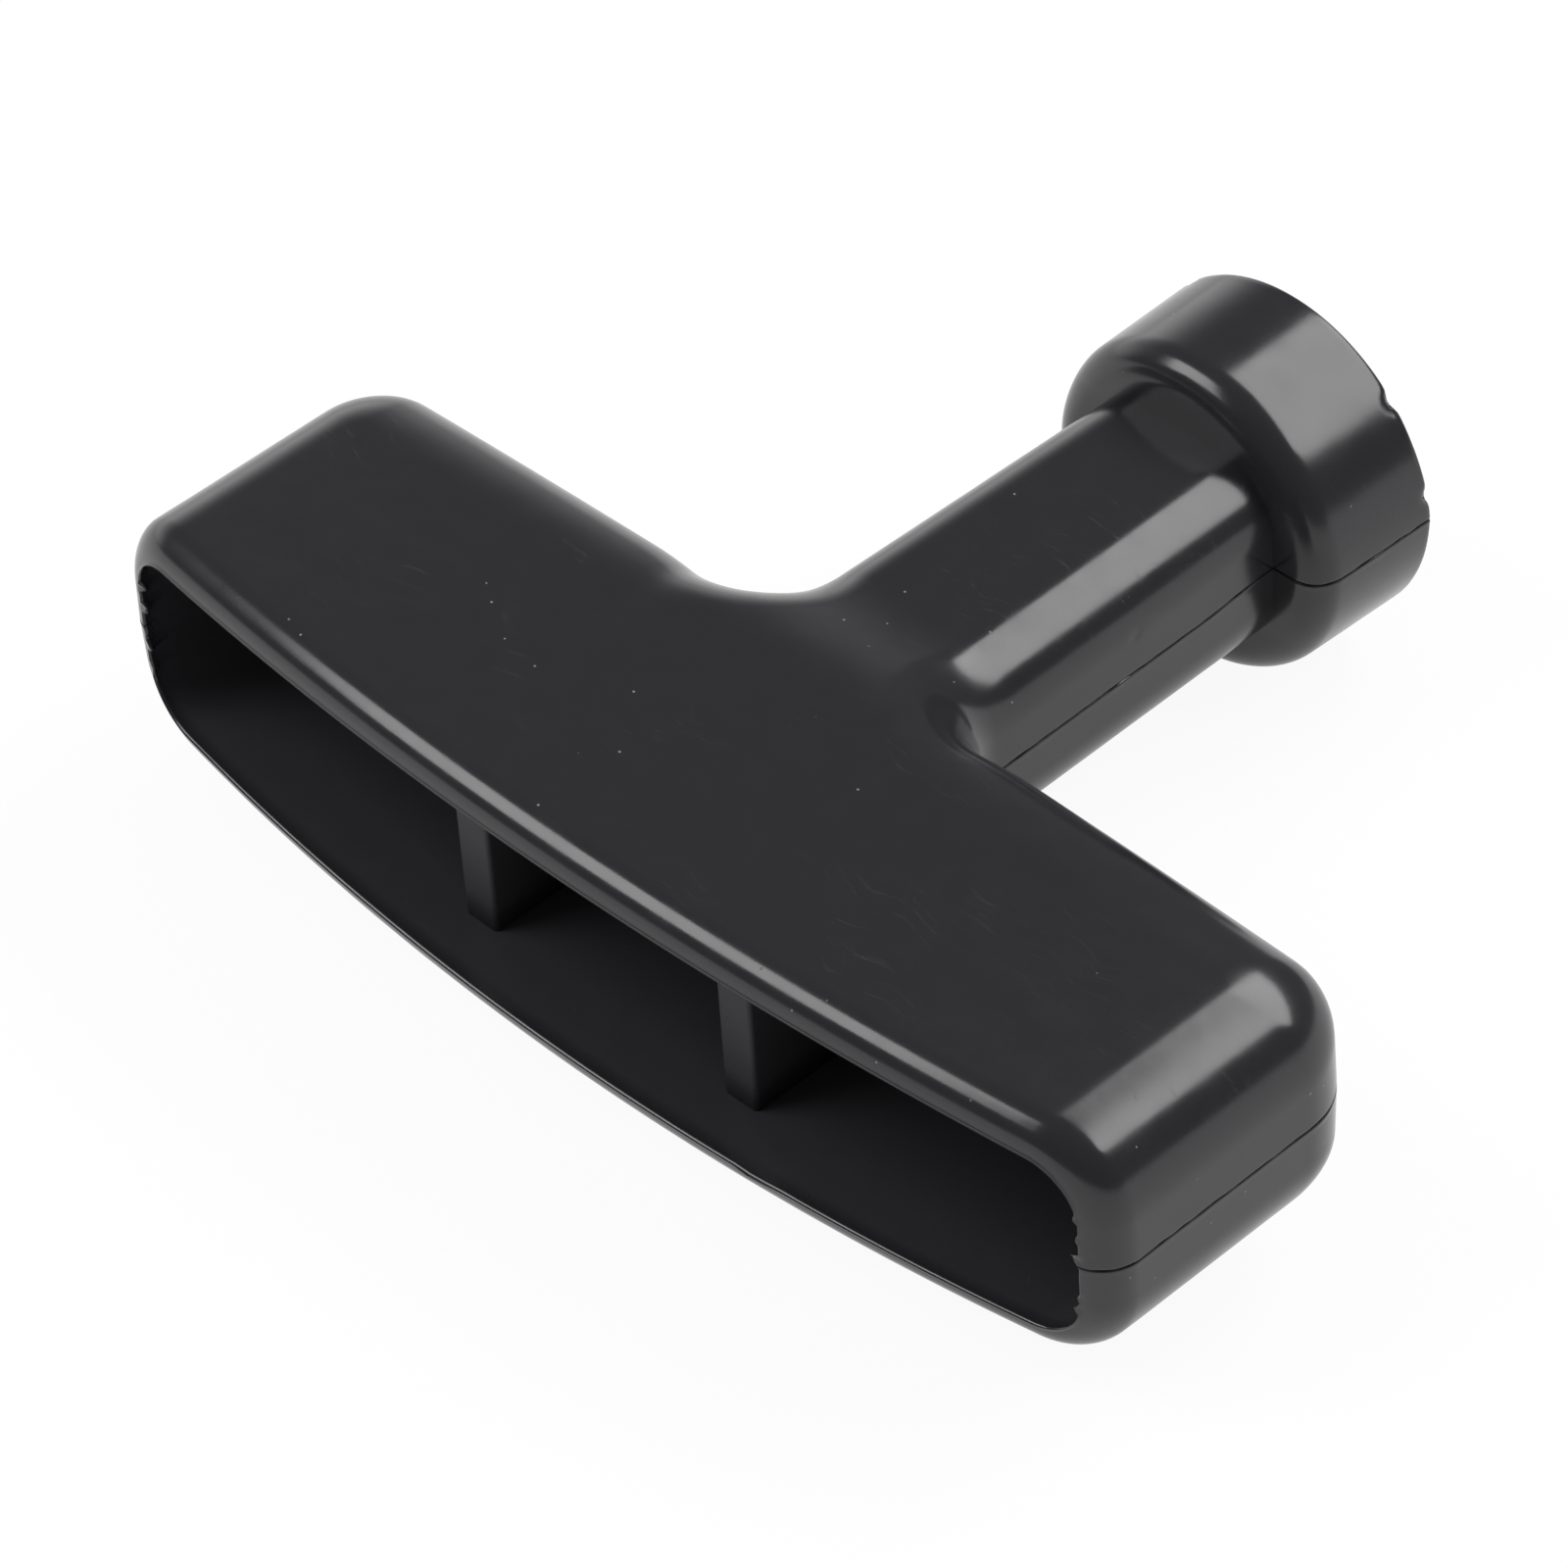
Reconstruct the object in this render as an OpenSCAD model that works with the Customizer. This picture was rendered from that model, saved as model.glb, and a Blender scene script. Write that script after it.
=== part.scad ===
// Recoil starter handle: one moulded piece with a hollow grip, a stem and a round collar.
// Millimetres. X runs along the grip, +Y from the grip to the collar, Z is up.
// The origin is the middle of the socket's mouth in the collar's end, on the rope's axis.

/* [Grip] */
// Width of the grip from end to end
grip_w = 90; // [84:1:110]
// How far the front edge bows out at the middle
front_bow = 3.9; // [2:0.1:5]
// Depth of the grip from its front end corners to its back edge
grip_d = 23.2; // [21:0.1:28]
// Thickness of the grip at the middle
mid_h = 20.5; // [19:0.1:25]
// Thickness of the grip at its ends
end_h = 18.2; // [17:0.1:20]
// Radius of the round along the top and bottom edges of the ends
end_r = 5.9; // [5:0.1:7]
// How far the round over the back edge reaches forward
back_reach = 7; // [5:0.1:7.5]
// How far the round over the back edge drops
back_drop = 4.7; // [3.5:0.1:6]
// Radius of the back corners, seen from above
corner_r = 5.7; // [4.5:0.1:7]
// Radius of the hollow corner between grip and stem, seen from above
neck_r = 4.4; // [3:0.1:5]
// Length of the slope from the grip's top down to the stem's
neck_l = 11; // [8:0.5:16]
// Radius of the round all along the front rim
rim_r = 2.5; // [2.5:0.1:4]

/* [Hollow] */
// Wall of the grip
wall = 2.3; // [1.6:0.1:2.4]
// Middle of each rib, out from the middle of the grip
rib_x = 12; // [9:0.5:16]
// Thickness of each rib
rib_t = 3; // [1.6:0.1:3.4]
// How far the ribs' front edges stand back from the bow of the front
rib_back = 4.5; // [3:0.5:8]

/* [Stem] */
// Width of the stem at the grip
stem_w = 17.5; // [16.5:0.1:19]
// Width of the stem at the collar
stem_end_w = 16.6; // [15:0.1:18]
// Thickness of the stem
stem_h = 14.8; // [13:0.1:16.5]
// Radius of the stem's long edges
stem_r = 4.7; // [3:0.1:5]
// Distance from the grip's front end corners to the collar's shoulder
shoulder_y = 53.4; // [48:0.1:64]

/* [Collar] */
// Diameter of the collar at its shoulder
collar_d = 24.8; // [23:0.1:28]
// Diameter of the collar at its open end
collar_end_d = 25.2; // [23.2:0.1:29]
// Length of the collar
collar_l = 10.8; // [10:0.1:16]
// Radius of the round at the shoulder
shoulder_r = 2.4; // [1:0.1:3]
// Diameter of the socket in the collar's end
socket_d = 19; // [16:0.1:20]
// Depth of the socket
socket_l = 9; // [6:0.1:9.4]
// Diameter of the rope hole
rope_d = 7; // [4.5:0.1:9]
// Length of the flare at the rope hole's grip end
flare_l = 1.2; // [0.5:0.1:1.6]

/* [Hidden] */
// Inside, y is measured from the grip's front end corners; handle() moves it to the origin.
// Half width of the grip
half = grip_w / 2;
// Radius of the front bow
bow_rad = (half * half + front_bow * front_bow) / (2 * front_bow);
// Where the sides of the grip are plain, between the rim and the back corner
split_y = min(8, grip_d - corner_r - 2);
// Radius of the back corners at the top, and how much larger it is at the parting plane
corner_top_r = 0.8;
corner_loss = corner_r - corner_top_r;
// How much wider the hollow corner by the stem is at the top
neck_gain = (back_reach + stem_r) / 2;
// The slope from the grip's top down to the stem's starts here, in front of the grip's back,
// and fades out beside the stem over this width
slope_lead = 4.7;
slope_y = grip_d - slope_lead;
slope_side = 8;
// How strongly the rows of the top crowd towards the back round
row_power = 0.8;
// Half widths of the stem
sw = stem_w / 2;
sw_end = stem_end_w / 2;
// The stem runs this far, just inside the collar
stem_y = shoulder_y + 1;
end_y = shoulder_y + collar_l;
inner_y = grip_d - wall;
// Steps round the edges, along the front section, over the top and along lines
n_arc = 7;
n_rim = 6;
n_top = 7;
n_line = 6;
$fn = 72;

// Smooth step from 0 to 1
function ease(t) = let (c = min(1, max(0, t))) c * c * (3 - 2 * c);
// Half thickness of the grip over x
function grip_z(x) = mid_h / 2 - (mid_h - end_h) / 2 * pow(x / half, 2);
// Half thickness anywhere, easing from the grip down to the stem near the middle
function top_z(x, y) = let (s = ease((y - slope_y) / neck_l) * (1 - ease((abs(x) - sw) / slope_side)))
    grip_z(x) * (1 - s) + stem_h / 2 * s;
// Front edge over x
function front_y(x) = bow_rad - front_bow - sqrt(bow_rad * bow_rad - x * x);

// Quarter section across Y as [x, z, normal x, normal z], moved in by d
function section(d) = concat(
    [[half - d, 0, 1, 0]],
    [for (i = [0:n_arc]) let (t = 90 * i / n_arc, x = half - end_r * (1 - cos(t)))
        [x - d * cos(t), grip_z(x) - end_r * (1 - sin(t)) - d * sin(t), cos(t), sin(t)]],
    [for (i = [n_top - 1:-1:0]) let (x = (half - end_r) * i / n_top) [x, grip_z(x) - d, 0, 1]]);

// Half outline from the plain end to the stem's end, as [x, y, inset in x, inset in y, drop]:
// at the top of its round, each point has moved in by its insets and up by its drop
function side() = concat(
    [for (i = [0:1]) let (k = i / 2)
        [half, split_y + (grip_d - corner_r - split_y) * k, end_r, (back_reach - corner_loss) * k, end_r]],
    [for (i = [0:n_arc]) let (t = 90 * i / n_arc, u = 1 - cos(t), v = 1 - sin(t))
        [half - corner_r * u, grip_d - corner_r * v, end_r - corner_loss * u, back_reach - corner_loss * v,
        end_r + (back_drop - end_r) * ease(i / n_arc)]],
    [for (i = [1:n_line - 1]) let (k = i / n_line, a = half - corner_r, b = sw + neck_r)
        [a + (b - a) * k, grip_d, (end_r - corner_loss) * (1 - k) + (stem_r - neck_gain) * k,
        back_reach, back_drop]],
    [for (i = [0:n_arc]) let (t = 90 * i / n_arc, u = 1 - cos(t), v = 1 - sin(t))
        [sw + neck_r * v, grip_d + neck_r * u, stem_r - neck_gain * v, back_reach - neck_gain * u,
        back_drop + (stem_r - back_drop) * ease(i / n_arc)]],
    [for (i = [1:n_line]) let (k = i / n_line, a = grip_d + neck_r)
        [sw + (sw_end - sw) * k, a + (stem_y - a) * k, stem_r, (back_reach - neck_gain) * (1 - k),
        stem_r]]);

// Middle of the top between two mirrored rows of the outline: even steps up to the back round,
// then the rows' own ends
function middle(s) = let (n = n_arc + n_line + 2, last = grip_d - back_reach)
    [for (i = [0:len(s) - 1])
        i < n ? split_y + (last - split_y) * pow(i / n, row_power) : s[i][1] - s[i][3]];

// Fall of a round of radius r where it is moved in by d
function fall(r, d) = r - sqrt(r * r - pow(r - d, 2));
// Front skin of one quarter, in rows from the plain part to the rim's foremost line;
// the round meets the wall's inside on the bow
function front_rows() = let (s = section(0)) concat(
    [[for (p = s) [p[0], split_y, p[1]]]],
    [for (k = [0:n_rim]) let (a = 90 * k / n_rim, d = rim_r * (1 - cos(a))) [for (p = s)
        let (x = p[0] - p[2] * d)
        [x, front_y(x) + rim_r * (1 - sin(a)) - fall(rim_r, wall), p[1] - p[3] * d]]]);

// Back skin of one quarter, in rows from the parting plane to the top
function back_rows() = let (s = side()) concat(
    [[for (p = s) [p[0], p[1], 0]]],
    [for (k = [0:n_arc]) let (a = 90 * k / n_arc, u = 1 - cos(a)) [for (p = s)
        let (x = p[0] - p[2] * u, y = p[1] - p[3] * u)
        [x, y, top_z(x, y) - p[4] * (1 - sin(a))]]]);

// Top skin between the two upper rows, in rows from one side to the other
function top_rows() = let (s = side(), m = middle(s))
    [for (k = [-n_top:n_top]) let (c = k / n_top) [for (i = [0:len(s) - 1])
        let (p = s[i], end = p[1] - p[3], x = (p[0] - p[2]) * c, y = end + (m[i] - end) * (1 - c * c))
        [x, y, top_z(x, y)]]];

// Points and triangles of a grid; out = 1 keeps the turn of the triangles, -1 reverses it
function points(g) = [for (r = g) each r];
function turn(t, out) = out > 0 ? t : [t[0], t[2], t[1]];
function cells(m, n, at, out) = [for (i = [0:m - 2], j = [0:n - 2]) let (a = at + i * n + j)
    each [turn([a, a + n, a + n + 1], out), turn([a, a + n + 1, a + 1], out)]];
function fan(first, count, step, centre, out) =
    [for (i = [0:count - 2]) turn([first + i * step, first + (i + 1) * step, centre], out)];
function flip(pts, sx, sz) = [for (p = pts) [p[0] * sx, p[1], p[2] * sz]];

// The whole outside of grip and stem as one closed skin
module body_skin() {
    f = front_rows();
    b = back_rows();
    t = top_rows();
    nf = len(f[0]);
    nb = len(b[0]);
    cf = len(f) * nf;
    cb = len(b) * nb;
    ct = len(t) * nb;
    quarters = [[1, 1], [-1, 1], [1, -1], [-1, -1]];
    pts = concat(
        [for (q = quarters) each flip(points(f), q[0], q[1])],
        [for (q = quarters) each flip(points(b), q[0], q[1])],
        [for (z = [1, -1]) each flip(points(t), 1, z)],
        [[0, -front_bow - 1, 0], [0, stem_y, 0]]);
    centre = 4 * cf + 4 * cb + 2 * ct;
    tris = concat(
        [for (i = [0:3]) let (o = quarters[i][0] * quarters[i][1], at = i * cf) each concat(
            cells(len(f), nf, at, o),
            fan(at + cf - nf, nf, 1, centre, -o))],
        [for (i = [0:3]) let (o = quarters[i][0] * quarters[i][1], at = 4 * cf + i * cb) each concat(
            cells(len(b), nb, at, o),
            fan(at + nb - 1, len(b), nb, centre + 1, o))],
        [for (i = [0:1]) let (o = 1 - 2 * i, at = 4 * cf + 4 * cb + i * ct) each concat(
            cells(len(t), nb, at, -o),
            fan(at + nb - 1, len(t), nb, centre + 1, -o))]);
    polyhedron(pts, tris, convexity = 6);
}

// Room inside the grip, open to the front: where a section across, a plan and a side profile meet.
// The plan's back corners are as round as the outside's, which keeps the wall thick there.
module hollow() {
    s = section(wall);
    w = half - wall;
    h = mid_h / 2 - wall;
    reach = back_reach - wall;
    drop = back_drop - wall;
    intersection() {
        translate([0, -front_bow - 3, 0])
            rotate([-90, 0, 0])
                linear_extrude(height = grip_d + front_bow + 6)
                    polygon([for (q = [[1, 1], [-1, 1], [-1, -1], [1, -1]])
                        let (n = len(s)) for (i = [0:n - 1])
                        let (k = q[0] * q[1] > 0 ? i : n - 1 - i)
                        if (!(k == 0 && q[0] * q[1] < 0) && !(k == n - 1 && q[0] * q[1] < 0))
                        [s[k][0] * q[0], s[k][1] * q[1]]]);
        translate([0, 0, -mid_h])
            linear_extrude(height = 2 * mid_h)
                back_rounded(w, corner_r, corner_r);
        rotate([0, 90, 0])
            translate([0, 0, -half])
                linear_extrude(height = grip_w)
                    back_rounded(h, drop, reach);
    }
}

// Profile of half width w from the open front to the back wall, its back corners rounded
// by a in width and b in depth
module back_rounded(w, a, b) {
    arc = [for (i = [0:n_arc]) let (t = 90 * i / n_arc)
        [w - a * (1 - cos(t)), inner_y - b * (1 - sin(t))]];
    polygon(concat(
        [[-w, -front_bow - 2], [w, -front_bow - 2]],
        arc,
        [for (i = [n_arc:-1:0]) [-arc[i][0], arc[i][1]]]));
}

// The two upright ribs that hold the rope's knot between them
module ribs() {
    y = front_y(rib_x) + rib_back;
    for (s = [-1, 1])
        translate([s * rib_x - rib_t / 2, y, -mid_h / 2])
            cube([rib_t, grip_d - y, mid_h]);
}

// Round collar with its rounded shoulder
module collar() {
    r = collar_d / 2;
    r_end = collar_end_d / 2;
    slope = (r_end - r) / (collar_l - shoulder_r);
    translate([0, shoulder_y, 0])
        rotate([-90, 0, 0])
            rotate_extrude()
                polygon(concat(
                    [[0, 0]],
                    [for (i = [0:8]) let (t = 90 * i / 8)
                        [r - shoulder_r * (1 - sin(t)), shoulder_r * (1 - cos(t))]],
                    [[r_end - 0.3 * slope, collar_l - 0.3], [r_end - 0.3, collar_l], [0, collar_l]]));
}

// Socket in the collar and the rope hole through the stem
module bores() {
    rope_r = rope_d / 2;
    translate([0, end_y - socket_l, 0])
        rotate([-90, 0, 0])
            cylinder(d = socket_d, h = socket_l + 1);
    translate([0, inner_y - 1, 0])
        rotate([-90, 0, 0])
            cylinder(d = rope_d, h = end_y - socket_l - inner_y + 2);
    translate([0, inner_y - 0.01, 0])
        rotate([-90, 0, 0])
            cylinder(r1 = rope_r + flare_l, r2 = rope_r, h = flare_l);
}

module handle() {
    color("#222225")
        translate([0, -end_y, 0])
            difference() {
                union() {
                    body_skin();
                    collar();
                }
                difference() {
                    hollow();
                    ribs();
                }
                bores();
            }
}

handle();
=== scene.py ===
"""Black moulded recoil starter handle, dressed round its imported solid."""

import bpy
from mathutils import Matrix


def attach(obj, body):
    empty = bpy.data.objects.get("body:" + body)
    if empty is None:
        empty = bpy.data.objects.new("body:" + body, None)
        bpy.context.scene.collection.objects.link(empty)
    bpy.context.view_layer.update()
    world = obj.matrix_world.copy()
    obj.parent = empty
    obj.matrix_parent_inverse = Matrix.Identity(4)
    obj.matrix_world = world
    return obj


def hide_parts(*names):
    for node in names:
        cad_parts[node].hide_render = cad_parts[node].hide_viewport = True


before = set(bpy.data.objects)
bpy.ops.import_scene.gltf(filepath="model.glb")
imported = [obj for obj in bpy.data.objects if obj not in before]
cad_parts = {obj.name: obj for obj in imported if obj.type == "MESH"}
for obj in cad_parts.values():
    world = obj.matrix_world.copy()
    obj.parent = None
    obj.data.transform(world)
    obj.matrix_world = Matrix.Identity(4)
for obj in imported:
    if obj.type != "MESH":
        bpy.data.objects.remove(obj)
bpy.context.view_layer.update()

import math

import bpy
import numpy as np
from mathutils import Matrix, Vector

MM = 0.001

# Sizes in mm, as in the solid. While a shell is made, y is 0 at the grip's front end corners;
# its last step puts y 0 at the collar's end face, as in the frame.
# Grip: half width, bow of the front, depth, half thickness in the middle and at the ends,
# radius of the long edges at the ends
HALF, BOW, DEPTH = 45.0, 3.9, 23.2
MID_Z, END_Z, END_R = 10.25, 9.1, 5.9
BOW_RAD = (HALF ** 2 + BOW ** 2) / (2 * BOW)
# Round over the back edge, along y and down; the back corner and what the round loses in it;
# the hollow corner beside the stem
REACH, DROP = 7.0, 4.7
CORNER_R, CORNER_LOSS, NECK_R = 5.7, 4.9, 4.4
# Front rim's round, the wall, and the y at which the front rows meet the back rows
RIM_R, WALL, SPLIT_Y = 2.5, 2.3, 8.0
INNER_Y = DEPTH - WALL
# Stem: half width at the grip and at the collar, half thickness, edge radius; how much of the
# round's reach turns from y to x along the hollow corner
STEM, STEM_END, STEM_Z, STEM_R = 8.75, 8.3, 7.4, 4.7
NECK_GAIN = (REACH + STEM_R) / 2
# Slope from the grip's top to the stem's: start, length, and how far beside the stem it fades
SLOPE_Y, SLOPE_L, SLOPE_SIDE = 18.5, 11.0, 8.0
# Collar: place and round of the shoulder, length, radius at the shoulder and at the end
SHOULDER_Y, COLLAR_L, SHOULDER_R = 53.4, 10.8, 2.4
COLLAR_R, COLLAR_END_R = 12.4, 12.6
END_Y = SHOULDER_Y + COLLAR_L
# The stem's skin ends inside the collar
STEM_Y = SHOULDER_Y + 1.0
# Socket in the collar's end, rope hole and the hole's flare inside the grip
SOCKET_R, SOCKET_L, ROPE_R, FLARE = 9.5, 9.0, 3.5, 1.2
# Ribs: distance from the middle, thickness, and how far behind the bow they start
RIB_X, RIB_T, RIB_BACK = 12.0, 3.0, 4.5

# Small rounds where the solid has sharp edges or a chamfer: on the collar's and the bores'
# edges and at the socket's foot, each with the distance of its middle from both faces, and on
# the ribs' front edges
EDGE_R, EDGE_MID = 0.3, 0.09
FOOT_R, FOOT_MID = 0.4, 0.12
RIB_R = 0.35

# The mould's marks in mm: how far the skin keeps inside the solid; the sides' draft as a slope,
# up to a height; the y and the length over which the parting line climbs at the collar, by how
# much, and how far up and down the skin goes along with it
INSET, DRAFT, DRAFT_TOP = 0.06, 0.026, 6
CLIMB_Y, CLIMB_L, PART_RISE, CLIMB_BAND = 46, 8, 0.3, 2.5
# Parting groove: depth with its short and long changes, width, wander; the burr under it:
# least height, most added to it, place, width
GROOVE, GROOVE_SHORT, GROOVE_LONG, GROOVE_W, WANDER = 0.09, 0.04, 0.02, 0.07, 0.03
BURR, BURR_MORE, BURR_Z, BURR_W = 0.012, 0.03, -0.2, 0.08
# Sinks in the top over the ribs: x, depth; their width, the height above which they are made,
# and the y at which they start and end, with the length over which they fade there
SINKS = [(-12.3, 0.04), (12, 0.015)]
SINK_W, SINK_Z, SINK_START, SINK_END, SINK_FADE = 1.3, 5, 2, 24, 4
# Pits, and where the depth is negative specks: x, y, z, radius, depth
PITS = [(8.5, 40.5, 2.9, 0.28, 0.12), (26.0, 12.0, 9.9, 0.25, -0.05),
        (-31.0, 2.6, 9.6, 0.3, 0.08), (-38.0, 9.0, 9.4, 0.3, -0.05)]
# Chips in the collar's mouth, likewise
CHIPS = [(9.2, END_Y, 8.6, 0.55, 0.5), (12.4, END_Y, 2.2, 0.5, 0.4),
         (-8.8, END_Y, 9.0, 0.5, 0.35)]
# Unevenness of the whole skin: slow and fine swell
SWELL, FINE = 0.010, 0.003
# Torn flash at both ends of the opening: from which x and up to which z, each with the length
# over which it starts; how far inwards, how far to and fro along y, over how many rows; the nick
# in the lower lip: x, width, depth
TEAR_X, TEAR_X_EASE, TEAR_Z, TEAR_Z_EASE = 41.5, 0.8, 4.6, 1.5
TEAR_IN, TEAR_FRO, TEAR_ROWS = 0.7, 0.35, 1.6
NICK_X, NICK_W, NICK = 17.5, 0.8, 0.35

# Quarter columns: up the side from the parting line, round the edge, in to the middle
SIDE_AT = np.array([0, .035, .07, .11, .16, .24, .4])
SIDE_F = np.linspace(0, 1, 11)[1:-1]
ARC = np.radians(np.linspace(0, 90, 23))
TOP = np.linspace(1, 0, 31)[1:]


def ease(t):
    """Smooth step: 3t squared less 2t cubed, held between 0 and 1."""
    t = np.clip(t, 0, 1)
    return t * t * (3 - 2 * t)


def noise(p, size, seed):
    """Smooth noise from -1 to 1: random values on a lattice of the given cell size, eased
    between. The lattice repeats, and the shift keeps its cells' numbers positive."""
    cells, shift = 32, 1000
    table = np.random.default_rng(seed).uniform(-1, 1, (cells, cells, cells))
    q = np.asarray(p, float) / size + shift
    low = np.floor(q).astype(int)
    f = ease(q - low)
    total = 0
    for a in (0, 1):
        for b in (0, 1):
            for c in (0, 1):
                i = (low + [a, b, c]) % cells
                w = (np.where(a, f[..., 0], 1 - f[..., 0])
                     * np.where(b, f[..., 1], 1 - f[..., 1])
                     * np.where(c, f[..., 2], 1 - f[..., 2]))
                total = total + w * table[i[..., 0], i[..., 1], i[..., 2]]
    return total


def bell(d, width):
    """Bell curve: 1 at distance 0, 1/e at the width."""
    return np.exp(-(d / width) ** 2)


def grip_z(x):
    """Half thickness over x: the middle's, less a part that grows with x squared."""
    return MID_Z - (MID_Z - END_Z) * (x / HALF) ** 2


def top_z(x, y):
    """Half thickness anywhere: the grip's, eased along y into the stem's near the middle."""
    s = ease((y - SLOPE_Y) / SLOPE_L) * (1 - ease((np.abs(x) - STEM) / SLOPE_SIDE))
    return grip_z(x) * (1 - s) + STEM_Z * s


def front_y(x):
    """Front edge over x: a circle through both end corners and the bow's middle."""
    return BOW_RAD - BOW - np.sqrt(BOW_RAD ** 2 - x * x)


def side_heights(h):
    """Heights up a plain side: fixed ones by the parting line, then even parts of the rest."""
    h = np.asarray(h)[..., None]
    fixed = np.broadcast_to(SIDE_AT, h.shape[:-1] + (len(SIDE_AT),))
    return np.concatenate([fixed, SIDE_AT[-1] + (h - SIDE_AT[-1]) * SIDE_F], -1)


def section():
    """Quarter section of the grip across Y: side, quarter circle, then top to the middle.
    Returns x, z and the outward normal in that plane."""
    zs = side_heights(END_Z - END_R)
    xa = HALF - END_R * (1 - np.cos(ARC))
    xt = (HALF - END_R) * TOP
    x = np.concatenate([np.full(len(zs), HALF), xa, xt])
    z = np.concatenate([zs, grip_z(xa) - END_R * (1 - np.sin(ARC)), grip_z(xt)])
    nx = np.concatenate([np.ones(len(zs)), np.cos(ARC), np.zeros(len(xt))])
    nz = np.concatenate([np.zeros(len(zs)), np.sin(ARC), np.ones(len(xt))])
    return x, z, nx, nz


def outline():
    """Half outline from the grip's plain side to the stem's end: line, corner, line, hollow
    corner, line. Its columns are x, y, the insets in x and y and the drop of the edge's round.
    Also returns the y that each row reaches at the middle of the top."""
    line_n, turn_n, back_n, stem_n = 28, 22, 27, 74
    row_power, stem_fade = 0.8, 1.6
    end_inset = END_R - CORNER_LOSS
    neck_inset = STEM_R - NECK_GAIN
    side_l = DEPTH - CORNER_R - SPLIT_Y
    k = np.linspace(0, 1, line_n + 1)[:-1] * side_l
    one = np.ones_like(k)
    line = [one * HALF, SPLIT_Y + k, one * END_R,
            (REACH - CORNER_LOSS) * ease(k / side_l), one * END_R]
    t = np.linspace(0, 1, turn_n + 1)
    u, v = 1 - np.cos(t * np.pi / 2), 1 - np.sin(t * np.pi / 2)
    corner = [HALF - CORNER_R * u, DEPTH - CORNER_R * v, END_R - CORNER_LOSS * u,
              REACH - CORNER_LOSS * v, END_R + (DROP - END_R) * ease(t)]
    k = np.linspace(0, 1, back_n + 1)[1:-1]
    one = np.ones_like(k)
    a, b = HALF - CORNER_R, STEM + NECK_R
    back = [a + (b - a) * k, one * DEPTH, end_inset * (1 - k) + neck_inset * k,
            one * REACH, one * DROP]
    neck = [STEM + NECK_R * v, DEPTH + NECK_R * u, STEM_R - NECK_GAIN * v,
            REACH - NECK_GAIN * u, DROP + (STEM_R - DROP) * ease(t)]
    k = np.linspace(0, 1, stem_n + 1)[1:]
    one = np.ones_like(k)
    stem = [STEM + (STEM_END - STEM) * k, DEPTH + NECK_R + (STEM_Y - DEPTH - NECK_R) * k,
            one * STEM_R, (REACH - NECK_GAIN) * (1 - ease(k * stem_fade)), one * STEM_R]
    p = np.concatenate([np.stack(g, 1) for g in (line, corner, back, neck, stem)])
    row_y = p[:, 1] - p[:, 3]
    n = len(line[0]) + len(t) + len(back[0])
    spread = np.linspace(0, 1, n + 1)[:-1] ** row_power
    row_y[:n] = SPLIT_Y + (DEPTH - REACH - SPLIT_Y) * spread
    return p, row_y


def back_rows():
    """Quarter rows of the back skin: up the side, over the edge's round, then along a curve
    to the middle, on which y changes with the square of the way."""
    p, row_y = outline()
    x0, y0, ix, iy, drop = [c[:, None] for c in p.T]
    s = len(SIDE_AT) + len(SIDE_F)
    side = side_heights(top_z(x0, y0)[:, 0] - drop[:, 0])
    u = 1 - np.cos(ARC)
    xa, ya = x0 - ix * u, y0 - iy * u
    xt = xa[:, -1:] * TOP
    yt = ya[:, -1:] + (row_y[:, None] - ya[:, -1:]) * (1 - TOP ** 2)
    x = np.concatenate([np.repeat(x0, s, 1), xa, xt], 1)
    y = np.concatenate([np.repeat(y0, s, 1), ya, yt], 1)
    z = np.concatenate([side, top_z(xa, ya) - drop * (1 - np.sin(ARC)), top_z(xt, yt)], 1)
    return np.stack([x, y, z], -1)


def front_rows():
    """Quarter rows from the plain part over the rim's quarter round, which stops just short of
    the wall's depth; the room's first row then makes the sharp inner edge."""
    plain_n, round_n, stop_short = 20, 24, 0.08
    x, z, nx, nz = section()
    fall = RIM_R - math.sqrt(RIM_R ** 2 - (RIM_R - WALL) ** 2)
    start = front_y(x) + RIM_R - fall
    rows = [np.stack([x, SPLIT_Y + (start - SPLIT_Y) * t, z], 1)
            for t in np.linspace(0, 1, plain_n)[1:-1]]
    for a in np.linspace(0, math.acos(1 - (WALL - stop_short) / RIM_R), round_n):
        d = RIM_R * (1 - math.cos(a))
        y = front_y(x - nx * d) + RIM_R * (1 - math.sin(a)) - fall
        rows.append(np.stack([x - nx * d, y, z - nz * d], 1))
    return np.array(rows)


def room_rows():
    """Quarter rows of the room inside the grip, from the rim's edge to the back wall: the
    section moved in by the wall, drawn in near the back by a round of its own in x and in z."""
    edge_at, first, rows_n = [0.004, 0.02], 0.06, 34
    x, z, nx, nz = section()
    x, z = x - nx * WALL, z - nz * WALL
    w, h = HALF - WALL, MID_Z - WALL
    start = front_y(x)
    rows = []
    for t in np.concatenate([edge_at, np.linspace(first, 1, rows_n)]):
        y = start + (INNER_Y - start) * t
        u = np.clip((y - INNER_Y + CORNER_R) / CORNER_R, 0, 1)
        v = np.clip((y - INNER_Y + REACH - WALL) / (REACH - WALL), 0, 1)
        fx = 1 - CORNER_R / w * (1 - np.sqrt(1 - u * u))
        fz = 1 - (DROP - WALL) / h * (1 - np.sqrt(1 - v * v))
        rows.append(np.stack([x * fx, y, z * fz], 1))
    return np.array(rows)


def whole_loop(q):
    """Four mirrored quarters joined into closed loops round Y."""
    b = (q * [-1, 1, 1])[:, ::-1][:, 1:]
    c = (q * [-1, 1, -1])[:, 1:]
    d = (q * [1, 1, -1])[:, ::-1][:, 1:-1]
    return np.concatenate([q, b, c, d], 1)


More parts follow.
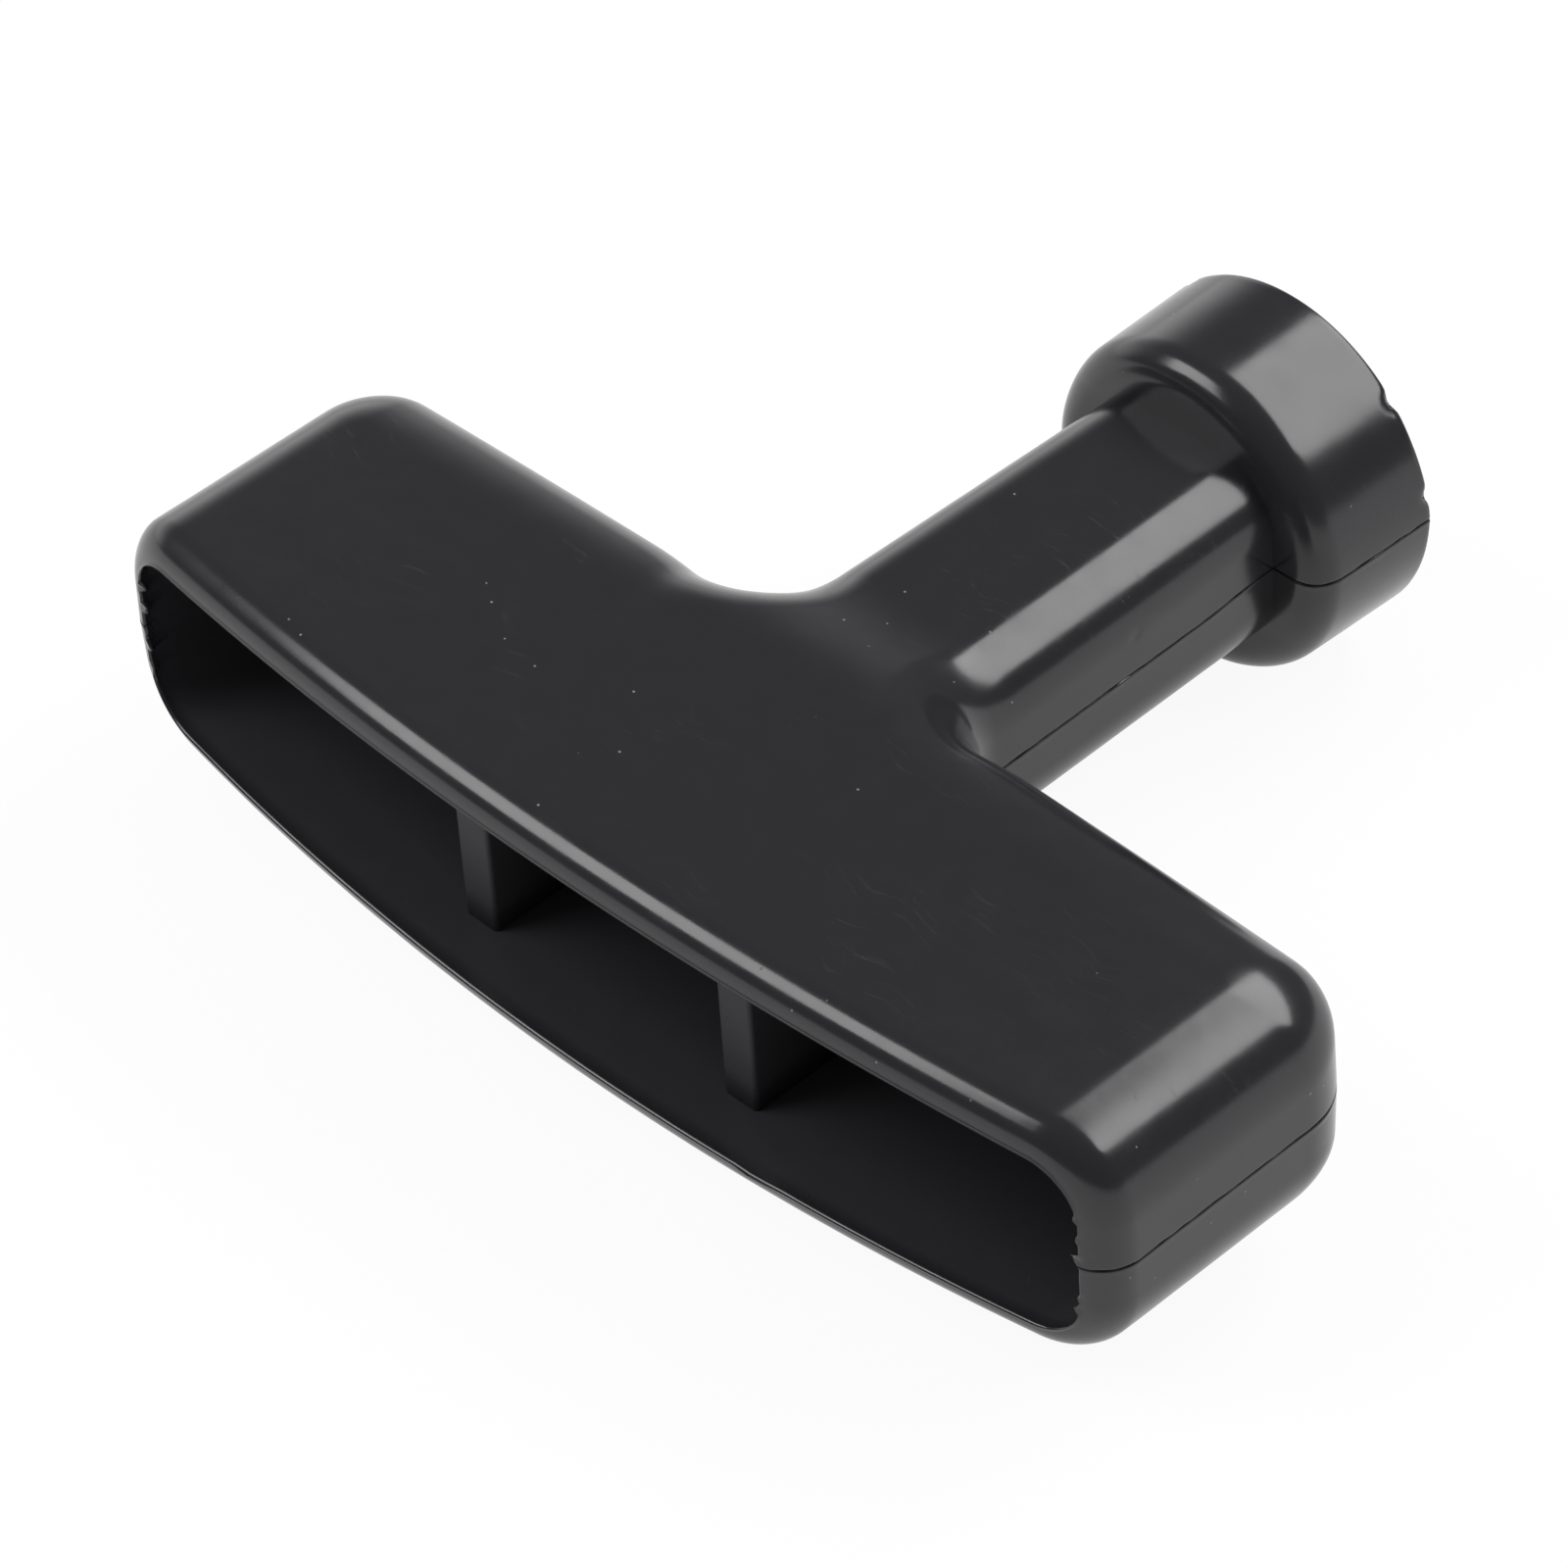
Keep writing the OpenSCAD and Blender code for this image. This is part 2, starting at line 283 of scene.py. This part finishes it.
def circle_rows(pairs, n):
    """Loops of n points at each radius and y, starting on +X and turning towards +Z."""
    t = np.linspace(0, 2 * np.pi, n, endpoint=False)
    return np.array([np.stack([r * np.cos(t), np.full(n, y), r * np.sin(t)], 1)
                     for r, y in pairs])


def bridge(a, b, steps):
    """Rows between two loops, in even steps, without the two loops."""
    s = np.linspace(0, 1, steps + 1)[1:-1, None, None]
    return a * (1 - s) + b * s


def torus_faces(m, n):
    """Quads of an m by n grid closed both ways."""
    i = np.arange(m * n).reshape(m, n)
    j = np.roll(i, -1, 0)
    return np.stack([i, j, np.roll(j, -1, 1), np.roll(i, -1, 1)], -1).reshape(-1, 4)


def grid_normals(g):
    """Unit normals of a grid closed both ways, across the differences along its rows and
    along its columns; they point to the side that the faces of torus_faces look to."""
    n = np.cross(np.roll(g, -1, 0) - np.roll(g, 1, 0), np.roll(g, -1, 1) - np.roll(g, 1, 1))
    return n / np.maximum(np.linalg.norm(n, axis=-1, keepdims=True), 1e-9)


def dents(p, marks):
    """Sum of rounded dents, each a depth that falls off as a bell round its centre."""
    total = 0
    for x, y, z, radius, depth in marks:
        total = total + depth * np.exp(-((p - [x, y, z]) ** 2).sum(-1) / radius ** 2)
    return total


def mould_marks(g, normal):
    """Grid moved along its outward normals by what the mould leaves: draft on the sides, a
    broken parting groove with a burr under it, sinks over the ribs, pits and specks, and a
    slight unevenness. The rows by the parting line first climb with it at the collar."""
    x, y, z = g[..., 0], g[..., 1], g[..., 2]
    side = (1 - normal[..., 2] ** 2) ** 2
    g = g.copy()
    g[..., 2] += PART_RISE * ease((y - CLIMB_Y) / CLIMB_L) * bell(z, CLIMB_BAND)
    along = np.stack([x, y, x * 0], -1)
    rough = noise(along, 0.9, seed=3)
    deep = GROOVE + GROOVE_SHORT * rough + GROOVE_LONG * noise(along, 3.5, seed=4)
    groove = -deep * bell(z - WANDER * rough, GROOVE_W)
    burr = BURR + BURR_MORE * np.clip(noise(along, 1.6, seed=5), 0, 1)
    burr = burr * bell(z - BURR_Z, BURR_W)
    sink = 0
    for rib_x, depth in SINKS:
        sink = sink - depth * bell(x - rib_x, SINK_W)
    sink = sink * (z > SINK_Z) * ease((SINK_END - y) / SINK_FADE)
    sink = sink * ease((y - SINK_START) / SINK_FADE)
    move = -INSET - DRAFT * np.minimum(np.abs(z), DRAFT_TOP) * side + (groove + burr) * side
    move += sink - dents(g, PITS) + SWELL * noise(g, 7, seed=6) + FINE * noise(g, 1.4, seed=7)
    return g + normal * move[..., None]


def torn_edge(g, first):
    """Rows by the rim's inner edge, from the given one on, with torn flash into the opening
    at both ends of the grip: teeth along z that push x inwards and y to and fro. The lower
    lip also gets its nick."""
    x, z = g[..., 0], g[..., 2]
    rows = np.arange(len(g))[:, None] - first
    near = bell(rows, TEAR_ROWS)
    end = ease((np.abs(x) - TEAR_X) / TEAR_X_EASE) * ease((TEAR_Z - np.abs(z)) / TEAR_Z_EASE)
    # Both ends get teeth of their own, from places in the noise that lie far apart
    apart, gain, base = 50, 1.1, 0.25
    key = np.stack([np.sign(x) * apart + x * 0, x * 0, z], -1)
    teeth = np.clip(noise(key, 0.55, seed=11) * gain + base, 0, 1)
    g = g.copy()
    g[..., 0] -= np.sign(x) * (TEAR_IN * teeth * near * end)
    g[..., 1] -= TEAR_FRO * teeth * near * end * noise(key, 0.4, seed=12)
    g[..., 2] -= NICK * (bell(x - NICK_X, NICK_W) * (z < 0) * near)
    return g


def make_object(name, parts, material):
    """One mesh object from several arrays of points, quads and how far each point belongs to
    the room inside the grip, in millimetres."""
    verts, faces, room, at = [], [], [], 0
    for v, f, inside in parts:
        verts.append(v.reshape(-1, 3))
        room.append(np.broadcast_to(inside, v.shape[:-1]).reshape(-1))
        faces.append(f + at)
        at += len(verts[-1])
    mesh = bpy.data.meshes.new(name)
    mesh.from_pydata((np.concatenate(verts) * MM).tolist(), [], np.concatenate(faces).tolist())
    mesh.shade_smooth()
    share = mesh.attributes.new("room", "FLOAT", "POINT")
    share.data.foreach_set("value", np.concatenate(room).astype(np.float32))
    obj = bpy.data.objects.new(name, mesh)
    bpy.context.scene.collection.objects.link(obj)
    mesh.materials.append(material)
    return obj


def body_shell():
    """Grip and stem as one closed skin: out over the back, round the rim, through the room,
    down the rope hole and back over the stem's end."""
    outer = whole_loop(back_rows()[::-1])
    rim = whole_loop(front_rows())
    room = whole_loop(room_rows())
    n = outer.shape[1]
    # Inside the collar this skin's hole is wider than the collar's, so no two faces coincide
    gap, gap_start = 0.3, 0.02
    bore = [(ROPE_R + FLARE, INNER_Y), (ROPE_R + FLARE * 0.5, INNER_Y + FLARE * 0.5)]
    bore += [(ROPE_R, y) for y in (INNER_Y + FLARE, 30, 40, 50, SHOULDER_Y + gap_start)]
    bore += [(ROPE_R + gap, SHOULDER_Y + gap), (ROPE_R + gap, STEM_Y)]
    bore = circle_rows(bore, n)
    wall = bridge(room[-1], bore[0], 8)
    grid = np.concatenate([outer, rim, room, wall, bore, bridge(bore[-1], outer[0], 4)])
    skin = len(outer) + len(rim)
    # In this order of rows grid_normals looks inwards, so it is turned here and the rows below
    grid[:skin] = mould_marks(grid, -grid_normals(grid))[:skin]
    grid = torn_edge(grid, skin)
    # The first two rows of the room are the rim's sharp edge and stay glossy
    inside = np.zeros((len(grid), 1))
    inside[skin + 2:skin + len(room) + len(wall)] = 1
    return grid[::-1] - [0, END_Y, 0], torus_faces(len(grid), n), inside[::-1]


def collar_shell():
    """Collar as a closed profile turned round Y: shoulder face and round, widening side, mouth,
    socket. The columns stand close together at the parting line."""
    a = np.radians(np.linspace(0, 90, 16))
    prof = [(ROPE_R, SHOULDER_Y)]
    prof += [(r, SHOULDER_Y) for r in np.linspace(5, COLLAR_R - SHOULDER_R, 16)[:-1]]
    prof += list(zip(COLLAR_R - SHOULDER_R * (1 - np.sin(a)),
                     SHOULDER_Y + SHOULDER_R * (1 - np.cos(a))))
    t = np.linspace(0, 1, 24)[1:]
    y1 = SHOULDER_Y + SHOULDER_R
    prof += list(zip(COLLAR_R + (COLLAR_END_R - COLLAR_R) * t, y1 + (END_Y - EDGE_R - y1) * t))
    b = np.radians([30, 60, 90])
    prof += list(zip(COLLAR_END_R - EDGE_R * (1 - np.cos(b)), END_Y - EDGE_R * (1 - np.sin(b))))
    mouth = len(prof)
    floor_y = END_Y - SOCKET_L
    prof += [(11.5, END_Y), (10.6, END_Y), (SOCKET_R + EDGE_R, END_Y),
             (SOCKET_R + EDGE_MID, END_Y - EDGE_MID)]
    prof += [(SOCKET_R, y) for y in np.linspace(END_Y - EDGE_R, floor_y + FOOT_R, 6)]
    prof += [(SOCKET_R - FOOT_MID, floor_y + FOOT_MID), (SOCKET_R - FOOT_R, floor_y),
             (7.5, floor_y), (5, floor_y), (ROPE_R + EDGE_R, floor_y),
             (ROPE_R, floor_y - EDGE_R)]
    prof = np.array(prof)
    fine = np.radians([0, 0.16, 0.32, 0.5, 0.75, 1.1, 1.8])
    half_turn = np.concatenate([fine, np.radians(np.linspace(3, 177, 112)), np.pi - fine[::-1]])
    th = np.concatenate([half_turn, np.pi + half_turn[1:-1]])
    grid = np.stack([prof[:, :1] * np.cos(th),
                     np.broadcast_to(prof[:, 1:], (len(prof), len(th))),
                     prof[:, :1] * np.sin(th)], -1)
    normal = grid_normals(grid)
    grid[:mouth] = mould_marks(grid, normal)[:mouth]
    grid -= normal * dents(grid, CHIPS)[..., None]
    grid[..., 1] = np.minimum(grid[..., 1], END_Y)
    return grid - [0, END_Y, 0], torus_faces(len(prof), len(th)), 0


def rib_shell(side):
    """Upright rib: a box section with two rounded front edges, carried up and down and back
    into the walls, closed at both ends."""
    y0 = front_y(np.array(RIB_X)) + RIB_BACK
    into_back, into_top = 0.2, 0.4
    y1 = INNER_Y + into_back
    top = grip_z(RIB_X) - WALL + into_top
    a = np.radians(np.linspace(0, 90, 6))
    half = RIB_T / 2
    x = np.concatenate([half - RIB_R + RIB_R * np.sin(a), [half], [-half],
                        -half + RIB_R - RIB_R * np.sin(a[::-1])])
    y = np.concatenate([y0 + RIB_R - RIB_R * np.cos(a), [y1], [y1],
                        y0 + RIB_R - RIB_R * np.cos(a[::-1])])
    grid = np.array([np.column_stack([x + side * RIB_X, y, np.full(len(x), h)])
                     for h in np.linspace(-top, top, 7)])
    m, n = grid.shape[:2]
    i = np.arange(m * n).reshape(m, n)
    j = np.roll(i, -1, 1)
    faces = np.stack([i[:-1], j[:-1], j[1:], i[1:]], -1).reshape(-1, 4)
    caps = []
    for row, turned in ((0, True), (m - 1, False)):
        k = i[row]
        for c in range(n // 2 - 1):
            quad = [k[c], k[c + 1], k[n - 2 - c], k[n - 1 - c]]
            caps.append(quad[::-1] if turned else quad)
    return grid - [0, END_Y, 0], np.concatenate([faces, np.array(caps)]), 1


def linear(code):
    """sRGB hex to linear values, opaque."""
    c = [int(code[i:i + 2], 16) / 255 for i in (1, 3, 5)]
    return [v / 12.92 if v <= 0.04045 else ((v + 0.055) / 1.055) ** 2.4 for v in c] + [1.0]


def add(tree, kind, settings=None, **links):
    """Adds a node; settings are its properties, links its inputs by name or number, as values
    or sockets."""
    node = tree.nodes.new(kind)
    for key, value in (settings or {}).items():
        setattr(node, key, value)
    for key, value in links.items():
        name = key.replace("_", " ").strip()
        numbered = name[0] == "i" and name[1:].isdigit()
        sock = node.inputs[int(name[1:])] if numbered else node.inputs[name]
        if hasattr(value, "is_output"):
            tree.links.new(value, sock)
        else:
            sock.default_value = value
    return node


def maths(tree, operation, *values):
    """Result of a maths node on values or sockets."""
    inputs = {f"i{k}": v for k, v in enumerate(values)}
    return add(tree, "ShaderNodeMath", {"operation": operation}, **inputs).outputs[0]


def span(tree, value, low, high, start=0.0, end=1.0, kind="LINEAR"):
    """Result of a map from low..high to start..end, held at both ends."""
    return add(tree, "ShaderNodeMapRange", {"interpolation_type": kind}, i0=value, i1=low,
               i2=high, i3=start, i4=end).outputs[0]


def blend(tree, share, a, b):
    """Colour between a and b."""
    return add(tree, "ShaderNodeMix", {"data_type": "RGBA"}, i0=share, A=a, B=b).outputs[2]


def new_material(name):
    """Material with an empty node tree; returns both."""
    mat = bpy.data.materials.new(name)
    mat.use_nodes = True
    mat.node_tree.nodes.clear()
    return mat, mat.node_tree


def moulded_black():
    """Black polypropylene, injection moulded in a polished steel mould: reflections with fairly
    crisp edges, a grain a fraction of a millimetre wide that breaks them up, handling scuffs
    that turn dull grey, and a few pale dust specks. All patterns are sized in mm."""
    mat, t = new_material("moulded_black_polypropylene")
    coord = add(t, "ShaderNodeTexCoord")
    mm = add(t, "ShaderNodeVectorMath", {"operation": "SCALE"}, i0=coord.outputs["Object"],
             Scale=1000.0).outputs[0]
    # Grain of 0.35 mm and waves of 2.5 mm
    grain = add(t, "ShaderNodeTexNoise", Vector=mm, Scale=2.8, Detail=3.0, Roughness=0.6)
    waves = add(t, "ShaderNodeTexNoise", Vector=mm, Scale=0.4, Detail=2.0).outputs[0]
    # Scuffs: noise drawn out 15 to 1 along a slanted line that is bent by slow noise, of which
    # only the tops count, in patches 8 mm across
    bent = add(t, "ShaderNodeTexNoise", Vector=mm, Scale=0.15, Detail=1.0)
    bent = add(t, "ShaderNodeVectorMath", {"operation": "MULTIPLY_ADD"},
               i0=bent.outputs["Color"], i1=(5.0, 5.0, 5.0), i2=mm)
    slant = add(t, "ShaderNodeMapping", Vector=bent.outputs[0], Rotation=(0.0, 0.0, 0.6),
                Scale=(0.22, 3.2, 1.2))
    streak = add(t, "ShaderNodeTexNoise", Vector=slant.outputs[0], Scale=1.0, Detail=3.0)
    patch = add(t, "ShaderNodeTexNoise", Vector=mm, Scale=0.12, Detail=1.0)
    scuff = maths(t, "MULTIPLY", span(t, streak.outputs[0], 0.60, 0.85),
                  span(t, patch.outputs[0], 0.46, 0.68))
    # Dust: one point in each 1.7 mm cell, kept in one cell of five, about 0.15 mm across
    cells = add(t, "ShaderNodeTexVoronoi", Vector=mm, Scale=0.6)
    pick = add(t, "ShaderNodeSeparateColor", Color=cells.outputs["Color"]).outputs[0]
    dust = maths(t, "MULTIPLY", maths(t, "GREATER_THAN", pick, 0.78),
                 span(t, cells.outputs["Distance"], 0.06, 0.03))
    # Painted shade in the parting groove: a dull dark thread 0.1 to 0.2 mm wide, darker where
    # the groove's shade falls, that wobbles and thins along its way, climbs at the collar as the
    # line does, and stays off the room's walls
    where = add(t, "ShaderNodeSeparateXYZ", i0=mm)
    room = add(t, "ShaderNodeAttribute", {"attribute_name": "room"}).outputs["Fac"]
    climb = span(t, where.outputs["Y"], CLIMB_Y - END_Y, CLIMB_Y + CLIMB_L - END_Y, 0.0,
                 PART_RISE, "SMOOTHSTEP")
    wobble = add(t, "ShaderNodeTexNoise", Vector=mm, Scale=1.1, Detail=3.0).outputs[0]
    off = maths(t, "SUBTRACT", where.outputs["Z"], climb)
    off = maths(t, "MULTIPLY_ADD", wobble, 0.12, off)
    off = maths(t, "ABSOLUTE", maths(t, "SUBTRACT", off, 0.06))
    width = add(t, "ShaderNodeTexNoise", Vector=mm, Scale=0.5, Detail=2.0).outputs[0]
    groove_shade = span(t, off, span(t, width, 0.35, 0.65, 0.05, 0.15), 0.03)
    groove_shade = maths(t, "MULTIPLY", groove_shade, maths(t, "SUBTRACT", 1.0, room))
    # Roughness of the bare plastic, and what the room's duller walls, the scuffs, the dust and
    # the painted groove shade add
    rough = span(t, waves, 0.3, 0.7, 0.16, 0.21)
    for mask, more in ((room, 0.3), (scuff, 0.16), (dust, 0.4), (groove_shade, 0.5)):
        rough = maths(t, "MULTIPLY_ADD", mask, more, rough)
    shine = maths(t, "MULTIPLY_ADD", room, -0.2, maths(t, "MULTIPLY_ADD", groove_shade, -0.42, 0.5))
    # Colours: plastic, scuffed plastic, dust, the room's walls lightened as painted fill light,
    # painted shade in the parting line
    tone = blend(t, maths(t, "MULTIPLY", scuff, 0.16), linear("#222225"), linear("#525254"))
    tone = blend(t, maths(t, "MULTIPLY", dust, 0.6), tone, linear("#8C8C88"))
    # Painted fill light: the room's walls take a lighter tone than the plain plastic, which
    # lifts the hollow's shade
    tone = blend(t, room, tone, linear("#29292C"))
    # Painted shade: a near-black thread darkens the parting line as the groove's shade would
    tone = blend(t, groove_shade, tone, linear("#0C0C0D"))
    # Height in units of 4 micrometres: 1 of grain, 2 of waves, 12 of dust
    high = maths(t, "MULTIPLY_ADD", waves, 2.0, grain.outputs[0])
    high = maths(t, "MULTIPLY_ADD", dust, 12.0, high)
    bump = add(t, "ShaderNodeBump", Strength=0.5, Distance=0.000004, Height=high)
    bsdf = add(t, "ShaderNodeBsdfPrincipled", Base_Color=tone, Roughness=rough, IOR=1.49,
               Specular_IOR_Level=shine, Normal=bump.outputs[0])
    add(t, "ShaderNodeOutputMaterial", Surface=bsdf.outputs[0])
    return mat


def pale_table():
    """Matt white laminate: takes the object's soft shadow and shows no pattern. The camera sees
    most of it as pure white, and the object mirrors it brighter than it is lit."""
    seen_share, mirrored_share = 0.93, 0.62
    mat, t = new_material("pale_table")
    path = add(t, "ShaderNodeLightPath")
    matt = add(t, "ShaderNodeBsdfDiffuse", Color=linear("#DADADA"))
    white = add(t, "ShaderNodeEmission", Color=linear("#FFFFFF"), Strength=1.0)
    share = maths(t, "MULTIPLY", path.outputs["Is Camera Ray"], seen_share)
    share = maths(t, "MULTIPLY_ADD", path.outputs["Is Glossy Ray"], mirrored_share, share)
    mix = add(t, "ShaderNodeMixShader", i0=share, i1=matt.outputs[0], i2=white.outputs[0])
    add(t, "ShaderNodeOutputMaterial", Surface=mix.outputs[0])
    return mat


def studio_world():
    """Dim room: white to the camera, otherwise dark above and lighter low down behind the object
    and to its left, as the photo's camera sees it, with some even fill for matt light."""
    dim, fill_more, band_more = 0.12, 0.5, 1.4
    world = bpy.data.worlds.new("studio")
    world.use_nodes = True
    t = world.node_tree
    t.nodes.clear()
    way = add(t, "ShaderNodeTexCoord").outputs["Generated"]
    height = add(t, "ShaderNodeSeparateXYZ", i0=way).outputs["Z"]
    low = span(t, height, 0.05, 0.6, 1.0, 0.0, "SMOOTHSTEP")
    facing = add(t, "ShaderNodeVectorMath", {"operation": "DOT_PRODUCT"}, i0=way,
                 i1=(-0.97, 0.25, 0.0)).outputs["Value"]
    band = span(t, facing, 0.7, 0.95, 0.0, band_more, "SMOOTHSTEP")
    glow = maths(t, "MULTIPLY_ADD", low, band, dim)
    path = add(t, "ShaderNodeLightPath")
    glow = maths(t, "MULTIPLY_ADD", path.outputs["Is Diffuse Ray"], fill_more, glow)
    shown = add(t, "ShaderNodeMix", {"data_type": "FLOAT"}, i0=path.outputs["Is Camera Ray"],
                i2=glow, i3=1.0)
    bg = add(t, "ShaderNodeBackground", Color=linear("#FFFFFF"), Strength=shown.outputs[0])
    add(t, "ShaderNodeOutputWorld", Surface=bg.outputs[0])
    return world


def softbox(name, direction, distance, size, power):
    """Rectangular area lamp that looks at the object from a direction, two of its edges level
    with X. Distance and size are in metres, power in watts."""
    lit_point = Vector((0, -0.045, 0))
    lamp = bpy.data.lights.new(name, "AREA")
    lamp.shape = "RECTANGLE"
    lamp.size, lamp.size_y = size
    lamp.energy = power
    obj = bpy.data.objects.new(name, lamp)
    bpy.context.scene.collection.objects.link(obj)
    d = Vector(direction).normalized()
    level = (Vector((1, 0, 0)) - d * d.x).normalized()
    turn = Matrix((level, d.cross(level), d)).transposed().to_4x4()
    obj.matrix_world = Matrix.Translation(lit_point + d * distance) @ turn
    return obj


def photo_camera():
    """Camera at the photo's place, from the fit of the model's outline to it: azimuth,
    elevation and roll in degrees, distance and target in mm, focal length in photo pixels."""
    az, el, roll = math.radians(48.678), math.radians(42.201), math.radians(-4.176)
    distance, focal, photo_width, sensor = 453.65, 7280.2, 1600, 36
    target = Vector((-0.577, 17.437 - END_Y, 0)) * MM
    right = Vector((math.cos(az), math.sin(az), 0))
    ahead = Vector((-math.sin(az) * math.cos(el), math.cos(az) * math.cos(el), -math.sin(el)))
    up = right.cross(ahead)
    right, up = (right * math.cos(roll) + up * math.sin(roll),
                 up * math.cos(roll) - right * math.sin(roll))
    cam = bpy.data.cameras.new("camera")
    cam.sensor_width = sensor
    cam.lens = focal / photo_width * sensor
    cam.clip_start = 0.01
    obj = bpy.data.objects.new("camera", cam)
    bpy.context.scene.collection.objects.link(obj)
    turn = Matrix((right, up, -ahead)).transposed().to_4x4()
    obj.matrix_world = Matrix.Translation(target - ahead * distance * MM) @ turn
    return obj


handle = make_object("handle_skin", [body_shell(), collar_shell(), rib_shell(-1), rib_shell(1)],
                     moulded_black())
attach(handle, "root")
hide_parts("handle")

# The collar, the thickest part, rests on the table
bpy.ops.mesh.primitive_plane_add(size=6, location=(0, 0, 0))
floor = bpy.context.object
floor.name = "floor"
floor.data.transform(Matrix.Translation((0, 0, -COLLAR_END_R * MM)))
floor.data.materials.append(pale_table())

bpy.context.scene.world = studio_world()
softbox("softbox_back", (0.259, 0.656, 0.709), 0.6, (0.65, 0.30), 3.8)
softbox("softbox_front", (-0.50, -0.53, 0.685), 0.7, (0.40, 0.40), 2.9)
bpy.context.scene.camera = photo_camera()
bpy.context.scene.view_settings.view_transform = "Standard"
